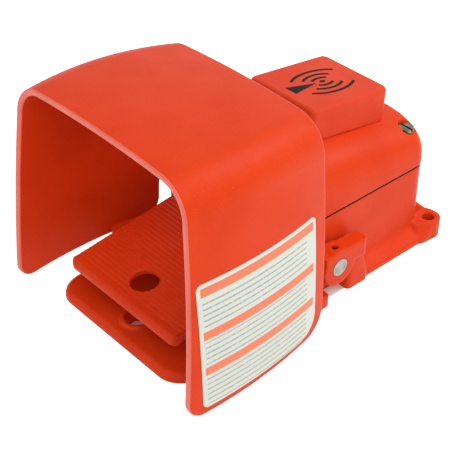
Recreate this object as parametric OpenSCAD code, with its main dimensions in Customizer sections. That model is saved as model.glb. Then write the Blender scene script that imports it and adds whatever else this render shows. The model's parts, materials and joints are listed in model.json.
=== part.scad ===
// Heavy-duty wireless foot switch: cast base, hinged ribbed treadle, full guard over the foot,
// sealed switch box with a domed cover and a radio housing on top. Millimetres, +Z up.
// X runs across, the foot goes in towards +Y, and the origin is the bottom centre of the whole part.

/* [Guard] */
// Height of the guard's front edge above the floor
guard_h_front = 160; // [150:1:175]
// Height of the guard's rear edge above the floor
guard_h_rear = 154; // [145:1:170]
// Outer half width of the guard at the front, at mid height
guard_half_front = 83.7; // [80:0.1:88]
// Outer half width of the guard at the rear, at mid height
guard_half_rear = 77.4; // [75:0.1:82]
// Wall thickness of the guard
guard_wall = 4.5; // [3:0.5:6]
// Outer radius of the guard's two top edges
guard_corner_r = 25; // [18:1:32]
// Gap between the guard's lower edge and the floor
guard_lift = 2.4; // [2:0.2:5]

/* [Treadle] */
// Half width of the treadle plate
treadle_half = 52.5; // [48:0.5:55]
// Thickness of the treadle plate
treadle_t = 4.5; // [4:0.5:6]
// Slope of the treadle plate at rest, down to the front
treadle_slope = 7; // [5:0.5:8]
// Diameter of the sight hole over the front mounting hole
sight_hole_d = 19.5; // [16:0.5:24]
// Distance from one anti-slip rib to the next
rib_pitch = 3.44; // [3:0.02:5]

/* [Pivot] */
// Diameter of the pivot shaft
shaft_d = 12.7; // [12:0.1:13]
// Height of the pivot above the floor
pivot_z = 29; // [28:0.5:30]

/* [Switch box] */
// Outer half width of the cast box
box_half = 55; // [53:0.5:56]
// Height of the joint face between the box and its cover
joint_z = 60; // [58:0.5:62]
// Wall thickness of the castings
cast_wall = 4.5; // [4:0.5:6]

/* [Radio housing] */
// Width of the radio housing
radio_w = 58; // [54:1:62]
// Length of the radio housing
radio_l = 71.5; // [69:0.5:73]

/* [Mounting] */
// Diameter of the three mounting holes
mount_hole_d = 8.7; // [7:0.1:9]
// Distance between the two rear mounting holes
mount_rear_x = 116; // [114:0.5:118]

/* [Hidden] */
$fn = 64;
paint = "orangered";

// ---- Places shared by several pieces
front_y = -130.3;            // guard's front plane at the floor
front_lean = 0.073;          // the front plane leans back with height
rear_y = -13.1;              // guard's rear plane at the floor
rear_lean = 0.031;
pivot_y = 17.5;
plate_front_y = -117.2;      // front edge of the base plate
box_front_y = -2;
box_rear_y = 117;
box_r = 12;                  // corner radius of the box in plan
floor_z = 6;                 // top of the base plate and of the box floor
arm_in = 57.6;               // inner face of the treadle's arms
arm_out = 66;
hub_out = 70;                // outer face of the arm's hub, flush with the shaft's end
gasket_t = 1.4;
cover_z = joint_z + gasket_t;
ear_y = 120.6;               // rear mounting holes
boss_y = -97.5;               // front mounting hole
eps = 0.01;

// ---- General shapes
function arc(c, r, a0, a1, n = 10)
  = [for (i = [0:n]) c + r * [cos(a0 + (a1 - a0) * i / n), sin(a0 + (a1 - a0) * i / n)]];
function blend(a, b, t) = a + (b - a) * t;

// Rectangle from low to high with its four corners rounded
module rounded(low, high, r) {
  polygon(concat(arc([high[0] - r, high[1] - r], r, 0, 90), arc([low[0] + r, high[1] - r], r, 90, 180),
                 arc([low[0] + r, low[1] + r], r, 180, 270), arc([high[0] - r, low[1] + r], r, 270, 360)));
}

// A bar of the given outline in Y and Z, from x0 to x1
module profile(x0, x1) {
  translate([x0, 0, 0]) rotate([90, 0, 90]) linear_extrude(x1 - x0) children();
}

// A round bar along X
module bar_x(x0, x1, y, z, d) {
  translate([x0, y, z]) rotate([0, 90, 0]) cylinder(h = x1 - x0, d = d);
}

module both_sides() {
  children();
  mirror([1, 0, 0]) children();
}

// Closed skin over a grid of points: rows of columns, wrapped along the columns
function quads(rows, cols, wrap) = [for (i = [0:rows - 2], j = [0:(wrap ? cols - 1 : cols - 2)])
  [i * cols + j, i * cols + (j + 1) % cols, (i + 1) * cols + (j + 1) % cols, (i + 1) * cols + j]];
function triangles(faces) = [for (f = faces, h = [0, 1]) h == 0 ? [f[0], f[1], f[2]] : [f[0], f[2], f[3]]];

// Solid between two open grids of the same size, closed along its four edges
module plate_between(outer, inner) {
  rows = len(outer);
  cols = len(outer[0]);
  m = rows * cols;
  skin = quads(rows, cols, false);
  flipped = [for (f = skin) [f[3] + m, f[2] + m, f[1] + m, f[0] + m]];
  start = [for (j = [0:cols - 2]) [j + 1, j, m + j, m + j + 1]];
  end = [for (j = [0:cols - 2]) let (k = (rows - 1) * cols + j) [k, k + 1, m + k + 1, m + k]];
  low = [for (i = [0:rows - 2]) let (k = i * cols) [k, k + cols, m + k + cols, m + k]];
  high = [for (i = [0:rows - 2]) let (k = i * cols + cols - 1) [k + cols, k, m + k, m + k + cols]];
  points = [for (grid = [outer, inner], row = grid, p = row) p];
  polyhedron(points, triangles(concat(skin, flipped, start, end, low, high)));
}

// Tube swept along points, with its rings set square to the path's own frames [point, side, up]
module swept(frames, r, sides) {
  points = [for (f = frames, j = [0:sides - 1]) f[0] + r *
    (cos(j * 360 / sides) * f[1] + sin(j * 360 / sides) * f[2])];
  n = len(frames);
  caps = [[for (j = [sides - 1:-1:0]) j], [for (j = [0:sides - 1]) (n - 1) * sides + j]];
  polyhedron(points, concat(triangles(quads(n, sides, true)), caps));
}

// Slotted pan-head machine screw pointing down, its head's seat at the origin
module screw(d, length, head_d, head_h, slot = 1.2) {
  translate([0, 0, -length]) cylinder(h = length + eps, d = d, $fn = 32);
  difference() {
    cylinder(h = head_h, d = head_d, $fn = 48);
    translate([-head_d, -slot / 2, head_h * 0.5]) cube([2 * head_d, slot, head_h]);
  }
}

// ---- Guard: one bowed sheet, its rows running from the right lower edge over the top to the left
guard_mid_z = 80;
guard_flare = 0.082;         // the walls lean in with height
guard_bow_z = 13.1;          // and bow outwards between floor and top
guard_bow_y = 21.2;          // and between front and rear
guard_crown = 2.75;          // height lost at X = 70 across the top
guard_top_bow = 14.2;        // the top also bows between front and rear
guard_low_front_r = 12;      // side view corners at the lower front and lower rear
guard_low_rear_r = 17;
guard_rise = 2.7;
wall_rows = 9;
corner_rows = 8;
top_rows = 5;
guard_cols = 12;

function guard_y0(z) = front_y + front_lean * z;
function guard_y1(z) = rear_y + rear_lean * z;
function setback(r, h) = h >= r ? 0 : r - sqrt(r * r - (r - h) * (r - h));
function guard_half(s, z) = blend(guard_half_front, guard_half_rear, s) + guard_bow_y * s * (1 - s)
  + guard_flare * (guard_mid_z - z) + guard_bow_z * (z / guard_h_front) * (1 - z / guard_h_front);
function guard_top(s, x) = blend(guard_h_front, guard_h_rear, s) + guard_top_bow * s * (1 - s)
  - guard_crown * pow(x / 70, 2);
function guard_s(y, z) = (y - guard_y0(z)) / (guard_y1(z) - guard_y0(z));
// Where the top corner's arc starts, for a skin lying inside the outer one by t
function corner_z(s, t) = guard_top(s, guard_half(s, 128) - guard_corner_r) - guard_corner_r;

// The lower edge rises towards the rear, a rise that fades out up the wall
function risen(z, low, rise, s) = z + rise * s * max(0, 1 - (z - low) / 60);
function wall_point(s, h, t) =
  let (z = risen(h, guard_lift, guard_rise, s),
       y = blend(guard_y0(z) + setback(guard_low_front_r, h - guard_lift),
                 guard_y1(z) - setback(guard_low_rear_r, h - guard_lift), s))
  [guard_half(guard_s(y, z), z) - t, y, z];
function low_heights() = [for (i = [0:5]) guard_lift + guard_low_rear_r * (1 - cos(18 * i))];
function guard_column(s, t) =
  let (zc = corner_z(s, t), r = guard_corner_r - t, xc = guard_half(s, zc) - guard_corner_r)
  concat(
    [for (z = low_heights()) wall_point(s, z, t)],
    [for (i = [1:wall_rows]) wall_point(s, blend(guard_lift + guard_low_rear_r, zc, i / wall_rows), t)],
    [for (i = [1:corner_rows]) let (a = 90 * i / corner_rows, z = zc + r * sin(a))
      [xc + r * cos(a), blend(guard_y0(z), guard_y1(z), s), z]],
    [for (i = [1:top_rows]) let (x = xc * (1 - i / top_rows), z = guard_top(s, x) - t)
      [x, blend(guard_y0(z), guard_y1(z), s), z]]);
function guard_line(s, t) =
  let (right = guard_column(s, t), n = len(right))
  concat(right, [for (i = [n - 2:-1:0]) [-right[i][0], right[i][1], right[i][2]]]);
function guard_grid(t) = [for (k = [0:guard_cols]) guard_line(k / guard_cols, t)];

foot_y = [-54, -29.5];       // the guard's feet on the base's lugs
foot_x = [61, 88.5, 85.5];   // inner edge, outer edge at the front and at the rear
foot_t = 4;
foot_screw_x = 70;
foot_screw_y = [-48, -35];

module foot_holes(d, z0, z1) {
  both_sides() for (y = foot_screw_y) translate([foot_screw_x, y, z0])
    cylinder(h = z1 - z0, d = d, $fn = 48);
}

module guard() color(paint) {
  plate_between(guard_grid(0), guard_grid(guard_wall));
  difference() {
    both_sides() translate([0, 0, floor_z]) linear_extrude(foot_t)
      polygon([[foot_x[0], foot_y[0]], [foot_x[1], foot_y[0]], [foot_x[2], foot_y[1]],
        [foot_x[0], foot_y[1]]]);
    foot_holes(5.5, floor_z - 1, floor_z + foot_t + 1);
  }
}

module guard_washers() color("silver") both_sides() for (y = foot_screw_y)
  translate([foot_screw_x, y, floor_z + foot_t]) difference() {
    cylinder(h = 1, d = 10);
    translate([0, 0, -1]) cylinder(h = 3, d = 5.3);
  }

module guard_screws() color("silver") both_sides() for (y = foot_screw_y)
  translate([foot_screw_x, y, floor_z + foot_t + 1]) screw(5, 9, 9, 3.2);

// ---- Label on the guard's right side: plain, with its lower edge following the guard's
label_y = [-119.3, -22];
label_z = [7.4, 97.3];
label_rise = 1.5;
label_r = [4, 15];           // small corners, and the large one at the lower rear
label_gap = 0.1;
label_t = 0.3;
label_cols = 12;
label_rows = 14;

function label_point(s, h, t) =
  let (up = h - label_z[0], down = label_z[1] - h, z = risen(h, label_z[0], label_rise, s),
       y0 = label_y[0] + setback(label_r[0], up) + setback(label_r[0], down),
       y1 = label_y[1] - setback(label_r[1], up) - setback(label_r[0], down),
       y = blend(y0, y1, s))
  [guard_half(guard_s(y, z), z) + t, y, z];
function label_heights() = concat(
  [for (i = [0:5]) label_z[0] + label_r[1] * (1 - cos(18 * i))],
  [for (i = [1:label_rows - 9]) blend(label_z[0] + label_r[1], label_z[1] - label_r[0],
    i / (label_rows - 9))],
  [for (i = [1:3]) label_z[1] - label_r[0] * (1 - sin(30 * i))]);
function label_grid(t)
  = [for (k = [0:label_cols]) [for (z = label_heights()) label_point(k / label_cols, z, t)]];

module side_label() color("whitesmoke")
  plate_between(label_grid(label_gap + label_t), label_grid(label_gap));

// ---- Base casting
plate_half = 64.5;
plate_corner_r = 18;
// heights and insets of its rounded edge
plate_edge = [[1.8, 0], [3.2, 0.4], [4.5, 1.1], [5.4, 2.1], [6, 3.4]];
boss = [8.2, 21.4, 15.6, 3.4];  // height, outer and counterbore diameters, depth left under the screw
plate_rear_y = 11;
lug_half = 80;               // half width over the lugs that carry the guard
skirt_h = 10;
skirt_half = 64;
stop_half = 66;              // outer faces of the stops under the arms' tails
hub_d = 25;                  // boss around the shaft's bush, inside the box
hub_in = 42;                 // inner face of that boss
bush_d = 17;
post_d = 13;
post_x = 41;
post_y = [6.5, 107];
seat_z = [94, 82.8];         // where the cover screws' heads sit, front and rear
post_short_z = 42;           // the front posts stop above the shaft
bracket_post = [[26, 60], [26, 84]];
bracket_z = 18;
holder_z = 9;                // underside of the battery tray
holder_post = [[-15.5, 40.8], [-15.5, 108.8]];
conduit_x = 24;
conduit_z = 30;
conduit_d = 21;

module base_plate() {
  // Tongue with rounded front corners, rounded over its edge
  for (e = plate_edge) linear_extrude(e[0]) tongue(e[1]);
  both_sides() translate([50, foot_y[0] - 2, 0]) linear_extrude(floor_z)
    rounded([0, 0], [lug_half - 50, foot_y[1] - foot_y[0] + 6], 5);
  both_sides() translate([50, -12, 0]) linear_extrude(9) rounded([0, 0], [69 - 50, plate_rear_y + 12], 3);
  translate([0, boss_y, 0]) cylinder(h = boss[0], d1 = boss[1] + 2.4, d2 = boss[1]);
}

module tongue(inset) {
  half = plate_half - inset;
  y0 = plate_front_y + inset;
  polygon(concat(arc([half - plate_corner_r, y0 + plate_corner_r], plate_corner_r, -90, 0),
                 [[half, plate_rear_y], [-half, plate_rear_y]],
                 arc([-half + plate_corner_r, y0 + plate_corner_r], plate_corner_r, 180, 270)));
}

module box_outer(z0, z1) {
  translate([0, 0, z0]) linear_extrude(z1 - z0)
    rounded([-box_half, box_front_y], [box_half, box_rear_y], box_r);
}

// Flared skirt along the sides and the stop lugs under the arms' tails
module box_sides() both_sides() {
  translate([0, 48, 0]) rotate([90, 0, 180]) linear_extrude(60)
    polygon([[-box_half + 1, 0], [-skirt_half, 0], [-skirt_half, 3.4], [-box_half - 1, skirt_h],
      [-box_half + 1, skirt_h]]);
  intersection() {
    profile(box_half - 1, stop_half)
      polygon([[26, 0], [50, 0], [50, 8], [44, 27.6], [33, 27.6], [31, 20], [31, 0]]);
    linear_extrude(40) rounded([box_half - 4, 31], [stop_half, 50.4], 2.6);
  }
}

module rear_ears() {
  both_sides() {
    // Ear with a round end, its front side falling to the skirt from a slanting edge
    linear_extrude(14) hull() {
      translate([57.4, ear_y]) circle(r = 9.4);
      polygon([[44, 108], [57, 106.6], [50, 128], [44, 118]]);
    }
    hull() {
      linear_extrude(2.4) polygon([[54, 104], [65, 106.8], [65.9, 111], [66.4, 120], [58, 124]]);
      translate([0, 0, 12.6]) linear_extrude(1) polygon([[54, 106.4], [56.6, 106.2], [66, 117], [58, 122]]);
    }
    profile(46, 50) polygon([[116, 0], [127, 0], [127, 14], [117, 24], [116, 24]]);
  }
}

module floor_posts() {
  for (p = bracket_post) translate([p[0], p[1], floor_z - 1]) cylinder(h = bracket_z - floor_z + 1, d = 10);
  for (p = holder_post) translate([p[0], p[1], floor_z - 1]) cylinder(h = holder_z - floor_z + 1, d = 7);
}

// The base and the walls of its box are one casting; the walls are a node of their own
module base_casting() color(paint) difference() {
  union() {
    difference() {
      union() {
        base_plate();
        box_outer(0, floor_z);
        box_sides();
        rear_ears();
      }
      box_outer(floor_z, 100);
    }
    floor_posts();
  }
  translate([0, boss_y, -1]) cylinder(h = 12, d = mount_hole_d);
  translate([0, boss_y, boss[3]]) cylinder(h = 10, d = boss[2]);
  both_sides() translate([mount_rear_x / 2, ear_y, -1]) cylinder(h = 20, d = mount_hole_d);
  foot_holes(5, -1, floor_z + 1);
  for (p = bracket_post) translate([p[0], p[1], floor_z + 1]) cylinder(h = 20, d = 4, $fn = 32);
  for (p = holder_post) translate([p[0], p[1], 4]) cylinder(h = 20, d = 3, $fn = 32);
}

module box_walls() color(paint) difference() {
  union() {
    difference() {
      box_outer(floor_z, joint_z);
      translate([0, 0, floor_z - 1]) linear_extrude(joint_z)
        rounded([-box_half + cast_wall, box_front_y + cast_wall],
          [box_half - cast_wall, box_rear_y - cast_wall], box_r - cast_wall);
    }
    both_sides() {
      translate([post_x, post_y[0], post_short_z]) cylinder(h = joint_z - post_short_z, d = post_d);
      translate([post_x, post_y[1], floor_z]) cylinder(h = joint_z - floor_z, d = post_d);
      bar_x(hub_in, box_half - 1, pivot_y, pivot_z, hub_d);
    }
    translate([-conduit_x, box_rear_y - cast_wall - 3, conduit_z]) rotate([-90, 0, 0])
      cylinder(h = cast_wall + 2.5, d = 32);
  }
  both_sides() {
    bar_x(hub_in - 1, 60, pivot_y, pivot_z, bush_d);
    for (y = post_y) translate([post_x, y, joint_z - 14]) cylinder(h = 20, d = 5, $fn = 32);
  }
  translate([-conduit_x, box_rear_y - cast_wall - 4, conduit_z]) rotate([-90, 0, 0])
    cylinder(h = 20, d = conduit_d);
}

module conduit_plug() color("silver") translate([-conduit_x, box_rear_y - 8, conduit_z]) rotate([-90, 0, 0])
  difference() {
  cylinder(h = 9, d = conduit_d);
  translate([0, 0, 3]) cylinder(h = 10, d = 12, $fn = 6);
}

// ---- Cover: a broad arch, cut flat under the radio housing
arch_power = 3;
crest_front = 107.6;         // height of the arch's crest at its front and rear ends
crest_rear = 91.0;
land_y = 66;                 // centre of the flat land under the radio housing
land_z = 96.9;
land_slope = 9.1;
cover_rows = 10;
arch_steps = 14;
cable_y = 60;
radio_post = [[23.5, 33], [23.5, 86]];
radio_mid = -8;              // middle of the radio housing from the slope's centre

function sgn_pow(v, p) = v < 0 ? -pow(-v, p) : pow(v, p);
// Half width and height of the arch at the fraction s of the cover's length, inside by t
function arch_half(s, t) =
  let (l = box_rear_y - box_front_y, y = s * l, e = min(y, l - y))
  box_half - t - (e < box_r ? box_r - sqrt(box_r * box_r - (box_r - e) * (box_r - e)) : 0) * 0.85;
function arch_crest(s, t) =
  let (l = box_rear_y - box_front_y, e = min(s, 1 - s) * l)
  blend(crest_front, crest_rear, s) - t - cover_z - 2.6 * pow(max(0, 1 - e / 6), 2);
function arch_points(s, t, y) = [for (i = [0:arch_steps]) let (a = 180 * i / arch_steps)
  [arch_half(s, t) * sgn_pow(cos(a), 2 / arch_power), y,
    cover_z + arch_crest(s, t) * pow(sin(a), 2 / arch_power)]];

module arch(t, sink) {
  l = box_rear_y - box_front_y;
  at = concat([for (k = [0:4]) 0.105 * (1 - cos(22.5 * k))],
    [for (k = [1:cover_rows - 1]) blend(0.105, 0.895, k / cover_rows)],
              [for (k = [4:-1:0]) 1 - 0.105 * (1 - cos(22.5 * k))]);
  rings = [for (s = at) let (y = box_front_y + t + s * (l - 2 * t), p = arch_points(s, t, y), n = len(p))
    concat([[p[0][0], y, cover_z - sink]], p, [[p[n - 1][0], y, cover_z - sink]])];
  cols = len(rings[0]);
  fan = [for (j = [1:cols - 2]) [0, j + 1, j]];
  last = (len(rings) - 1) * cols;
  fan_end = [for (j = [1:cols - 2]) [last, last + j, last + j + 1]];
  polyhedron([for (r = rings, p = r) p], concat(triangles(quads(len(rings), cols, true)), fan, fan_end));
}

module on_land() translate([0, land_y, land_z]) rotate([-land_slope, 0, 0]) children();

module cover() color(paint) difference() {
  union() {
    difference() {
      arch(0, 0);
      arch(cast_wall, 1);
    }
    // Thicker skin under the land, columns over the base's posts, and a rim that locates the gasket
    intersection() {
      arch(1, 0);
      union() {
        on_land() translate([-33, radio_mid - radio_l / 2 - 1, -cast_wall]) cube([66, radio_l + 5, 12]);
        both_sides() for (y = post_y) translate([post_x, y, cover_z]) cylinder(h = 40, d = post_d);
      }
    }
    // Pad that carries the land out to the radio housing's front corners
    on_land() translate([0, 1.5, -cast_wall]) linear_extrude(cast_wall) radio_plan(-0.6);
  }
  on_land() translate([-radio_w / 2 - 1, radio_mid - radio_l / 2 - 3, 0])
    cube([radio_w + 2, radio_l + 5.8, 20]);
  both_sides() {
    for (y = post_y) translate([post_x, y, 0]) cylinder(h = 200, d = 5.6, $fn = 32);
    for (i = [0, 1]) translate([post_x, post_y[i], seat_z[i]]) cylinder(h = 30, d = 12);
    for (p = radio_post) on_land() translate([p[0], p[1] - land_y, 0]) {
      translate([0, 0, -20]) cylinder(h = 40, d = 4.4, $fn = 32);
      translate([0, 0, -cast_wall - 8]) cylinder(h = 8, d = 8);
    }
  }
  on_land() translate([0, cable_y - land_y, -20]) cylinder(h = 40, d = 9, $fn = 32);
}

module cover_gasket() color("#26211f") translate([0, 0, joint_z]) linear_extrude(gasket_t) difference() {
  rounded([-box_half + 0.4, box_front_y + 0.4], [box_half - 0.4, box_rear_y - 0.4], box_r);
  rounded([-box_half + cast_wall, box_front_y + cast_wall], [box_half - cast_wall, box_rear_y - cast_wall],
    box_r - cast_wall);
  for (m = [1, -1], y = post_y) translate([m * post_x, y]) circle(d = 6, $fn = 32);
}

module cover_screws() color("silver") both_sides() for (i = [0, 1])
  translate([post_x, post_y[i], seat_z[i]]) screw(5, seat_z[i] - joint_z + 13, 10.4, 3.6, 1.6);

// ---- Radio housing: a square box on the land, its top less steep than its foot
radio_slope = 7.3;
radio_top = 21.6;            // height of its top above the land's centre
radio_wall = 2.5;
radio_r = 4;
board = [46, 44, 1.6];
board_y = -20;
board_z = 13;                // height of the board's underside above the land
board_post = [[-19, -16], [19, -16], [-19, 20], [19, 20]];

module radio_plan(inset, r = radio_r) {
  rounded([-radio_w / 2 + inset, radio_mid - radio_l / 2 + inset],
          [radio_w / 2 - inset, radio_mid + radio_l / 2 - inset], r);
}

module radio_block(inset, top, bottom) {
  intersection() {
    translate([0, land_y + 1.5, land_z]) rotate([-radio_slope, 0, 0]) hull() {
      translate([0, 0, -12]) linear_extrude(1) radio_plan(inset - 0.8);
      translate([0, 0, top - 1.8]) linear_extrude(0.1) radio_plan(inset);
      translate([0, 0, top - 0.6]) linear_extrude(0.1) radio_plan(inset + 0.7);
      translate([0, 0, top - 0.1]) linear_extrude(0.1) radio_plan(inset + 1.9, radio_r - 1);
    }
    on_land() translate([-60, -60, bottom]) cube([120, 120, 60]);
  }
}

module radio_housing() color(paint) difference() {
  union() {
    difference() {
      radio_block(0, radio_top, 0.15);
      radio_block(radio_wall, radio_top - radio_wall, -5);
      // Step behind the outer lip, where the gasket sits
      on_land() translate([0, 1.5, -1]) linear_extrude(2) radio_plan(1);
    }
    both_sides() for (p = radio_post) on_land() translate([p[0], p[1] - land_y, 1]) cylinder(h = 10, d = 9);
    intersection() {
      on_land() for (p = board_post) translate([p[0], p[1], board_z + board[2]])
        cylinder(h = 8, d = 5, $fn = 32);
      radio_block(1, radio_top - 1, 1);
    }
  }
  both_sides() for (p = radio_post) on_land() translate([p[0], p[1] - land_y, 0])
    cylinder(h = 9, d = 3.4, $fn = 32);
  on_land() for (p = board_post) translate([p[0], p[1], board_z]) cylinder(h = 5, d = 2.5, $fn = 32);
}

module radio_gasket() color("#26211f") on_land() difference() {
  translate([0, 1.5, 0]) linear_extrude(1) difference() {
    radio_plan(1.1);
    radio_plan(4.4, radio_r - 2);
  }
  both_sides() for (p = radio_post) translate([p[0], p[1] - land_y, -1]) cylinder(h = 9, d = 4.2, $fn = 32);
}

module radio_screws() color("silver") both_sides() for (p = radio_post)
  on_land() translate([p[0], p[1] - land_y, -cast_wall]) mirror([0, 0, 1]) screw(3.4, 12, 6.4, 2.2, 0.9);

module radio_board() color("darkgreen") on_land() difference() {
  translate([-board[0] / 2, board_y, board_z]) cube([board[0], board[1], board[2]]);
  for (p = board_post) translate([p[0], p[1], board_z - 1]) cylinder(h = 9, d = 2.8, $fn = 32);
}

module board_screws() color("silver") on_land() for (p = board_post)
  translate([p[0], p[1], board_z]) mirror([0, 0, 1]) screw(2.5, 4.4, 4.4, 1.5, 0.7);

module radio_antenna() color("#d8b46a") on_land() {
  translate([-14, -8, board_z + board[2]]) cube([6, 10, 2]);
  translate([-11, 2 - eps, board_z + board[2] + 1]) rotate([-90, 0, 0]) cylinder(h = 20, d = 1.6, $fn = 24);
}

// ---- Treadle: ribbed plate in front of the box, with an arm and hub on each side of it
plate_y = [-111.5, -7];
plate_ref = [-92, 33.5];     // a point on the plate's top face: y and z
arm_top = 41;
arm_front = -14;
tail_y = 44.6;               // rear end of the arms, above the stops
rib_h = 0.5;
rib_w = 1.9;
nose_d = 9;
rail_h = 9.4;                // depth of the side rails below the plate's top

function plate_top(y) = plate_ref[1] + (y - plate_ref[0]) * tan(treadle_slope);

module on_plate() translate([0, plate_ref[0], plate_ref[1]]) rotate([treadle_slope, 0, 0]) children();

module treadle() color(paint) difference() {
  union() {
    on_plate() {
      front = (plate_y[0] - plate_ref[0]) / cos(treadle_slope);
      rear = (plate_y[1] - plate_ref[0]) / cos(treadle_slope);
      // Plate with its rounded front edge, both round at the corners in plan
      intersection() {
        union() {
          translate([-treadle_half, front + nose_d / 2, -treadle_t])
            cube([2 * treadle_half, rear - front - nose_d / 2, treadle_t - rib_h]);
          translate([-treadle_half, front + nose_d / 2, -nose_d / 2]) rotate([0, 90, 0])
            cylinder(h = 2 * treadle_half, d = nose_d);
        }
        translate([0, 0, -20]) linear_extrude(40)
          rounded([-treadle_half, front], [treadle_half, rear], 5.5);
      }
      // Side rails below the plate and the anti-slip ribs
      both_sides() translate([treadle_half - 5, front + nose_d / 2 + 1, -rail_h])
        cube([4.5, rear - front - nose_d / 2 - 4, rail_h - 4]);
      for (y = [front + nose_d / 2 + 1.2 : rib_pitch : rear - rib_w])
        translate([-treadle_half + 1.2, y, -rib_h - 0.3])
          cube([2 * treadle_half - 2.4, rib_w, rib_h + 0.3]);
    }
    both_sides() {
      profile(arm_in, arm_out)
        polygon([[arm_front, 28], [arm_front, arm_top - 0.4], [-8, arm_top], [12, arm_top], [20, 20],
          [10, 16]]);
      // Bridge from the plate's side into the arm, then the hub with its flat top
      profile(treadle_half - 7, arm_out - 4)
        polygon([[arm_front, 32], [arm_front, 40.2], [-8, 40.6], [-8, 32]]);
      bar_x(arm_in, hub_out, pivot_y, pivot_z, 28);
      intersection() {
        profile(arm_in, hub_out)
          polygon(concat([[4.6, 29], [4.6, arm_top]], arc([tail_y - 2.4, arm_top - 2.4], 2.4, 90, 0, 6),
          arc([tail_y - 2.4, 30.6], 2.4, 0, -90, 6), [[28, 28.2], [20, 22]]));
        linear_extrude(60) rounded([arm_in, 0], [hub_out, tail_y], 5.2);
      }
    }
  }
  on_plate() translate([0, 2.4, -20]) cylinder(h = 40, d = sight_hole_d);
  both_sides() {
    bar_x(arm_in - 1, hub_out + 1, pivot_y, pivot_z, shaft_d);
    translate([64, pivot_y, pivot_z]) cylinder(h = 20, d = 5, $fn = 32);
  }
}

module treadle_shaft() color("gray") bar_x(-hub_out, hub_out, pivot_y, pivot_z, shaft_d);

bush_clear = 0.03;           // radial clearance of the running fit
module shaft_bushes() color("goldenrod") both_sides() difference() {
  union() {
    bar_x(hub_in + 4, box_half + eps, pivot_y, pivot_z, bush_d);
    bar_x(box_half, box_half + 1.9, pivot_y, pivot_z, bush_d + 5);
  }
  bar_x(hub_in, 60, pivot_y, pivot_z, shaft_d + 2 * bush_clear);
}

module shaft_o_rings() color("#26211f") both_sides() translate([hub_in + 2, pivot_y, pivot_z])
  rotate([0, 90, 0])
  rotate_extrude() translate([(shaft_d + bush_d) / 4, 0]) circle(r = 1, $fn = 24);

module arm_set_screws() color("gray") both_sides() translate([64, pivot_y, pivot_z + shaft_d / 2])
  difference() {
  cylinder(h = 4.6, d = 5, $fn = 32);
  translate([0, 0, 2.2]) cylinder(h = 5, d = 2.9, $fn = 6);
}

// ---- Switch gear inside the box
cam_half = 7;
nose = [39.5, 46.1];         // centre of the cam's nose, y and z
nose_r = 4;

module actuator_cam() color("silver") difference() {
  union() {
    bar_x(-cam_half, cam_half, pivot_y, pivot_z, 23);
    hull() {
      bar_x(-4, 4, pivot_y + 4, pivot_z + 4, 10);
      bar_x(-4, 4, nose[0], nose[1], 2 * nose_r);
    }
    bar_x(-4, 4, nose[0], nose[1], 2 * nose_r);
  }
  bar_x(-20, 20, pivot_y, pivot_z, shaft_d);
  translate([0, pivot_y, pivot_z]) rotate([70, 0, 0]) cylinder(h = 20, d = 4, $fn = 32);
}

module cam_set_screws() color("gray") translate([0, pivot_y, pivot_z]) rotate([70, 0, 0])
  translate([0, 0, shaft_d / 2]) difference() {
  cylinder(h = 4.6, d = 4, $fn = 32);
  translate([0, 0, 2]) cylinder(h = 5, d = 2.3, $fn = 6);
}

spring_r = 9;                // mean radius of the coil
spring_wire = 2;
spring_turns = 5;
spring_steps = 16;
spring_start_x = 12;
spring_pitch = 3.2;
leg_l = 14;

function spring_dir(a) = [0, cos(a), sin(a)];
function spring_frames() =
  let (a0 = -30, a1 = a0 + 360 * spring_turns, n = spring_turns * spring_steps,
       centre = [0, pivot_y, pivot_z], c0 = centre + [spring_start_x, 0, 0],
       c1 = centre + [spring_start_x + spring_pitch * spring_turns, 0, 0])
  concat(
    [[c0 + spring_r * spring_dir(a0) - leg_l * spring_dir(a0 + 90), spring_dir(a0), [1, 0, 0]]],
    [for (i = [0:n]) let (a = blend(a0, a1, i / n)) [blend(c0, c1, i / n) + spring_r * spring_dir(a),
      spring_dir(a), [1, 0, 0]]],
    [[c1 + spring_r * spring_dir(a1) + leg_l * spring_dir(a1 + 90), spring_dir(a1), [1, 0, 0]]]);

module torsion_springs() color("slategray") both_sides() swept(spring_frames(), spring_wire / 2, 6);

body_y = [40, 89];
body_z = [54, 78];
body_half = 8.7;
lever_y = 86;
lever_z = 52.4;
lever_t = 0.8;
button_y = 66;
plate_x = 8.8;               // inner face of the bracket's upright plate

module switch_bracket() color("lightgray") difference() {
  union() {
    translate([plate_x, 44, 18]) cube([2, 44, 58]);
    translate([plate_x, 54, 18]) cube([24, 36, 2]);
  }
  for (p = bracket_post) translate([p[0], p[1], 10]) cylinder(h = 20, d = 4.5, $fn = 32);
  for (y = [52, 78]) bar_x(plate_x - 1, plate_x + 4, y, 72, 4.2);
}

module bracket_screws() color("silver") for (p = bracket_post) translate([p[0], p[1], 20])
  screw(4, 9, 7, 2.6);

module micro_switch() color("#1d1d20") difference() {
  union() {
    translate([-body_half, body_y[0], body_z[0]])
      cube([2 * body_half, body_y[1] - body_y[0], body_z[1] - body_z[0]]);
    both_sides() translate([5, lever_y - 3, lever_z - 3]) cube([3, 6, body_z[0] - lever_z + 3.5]);
    bar_x(-7, 7, lever_y, lever_z, 2);
  }
  for (y = [52, 78]) bar_x(-20, 20, y, 72, 4.2);
  translate([0, button_y, body_z[0] - 1]) cylinder(h = 6.5, d = 4.1, $fn = 48);
  translate([-4.95, lever_y - 2.4, body_z[0] - 1]) cube([9.9, 4.8, 1.4]);
}

module switch_terminals() color("goldenrod") for (y = [47, 65, 83])
  translate([-3, y - 0.4, body_z[1]]) difference() {
    cube([6, 0.8, 8]);
    translate([3, 2, 5]) rotate([90, 0, 0]) cylinder(h = 4, d = 2, $fn = 24);
  }

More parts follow.
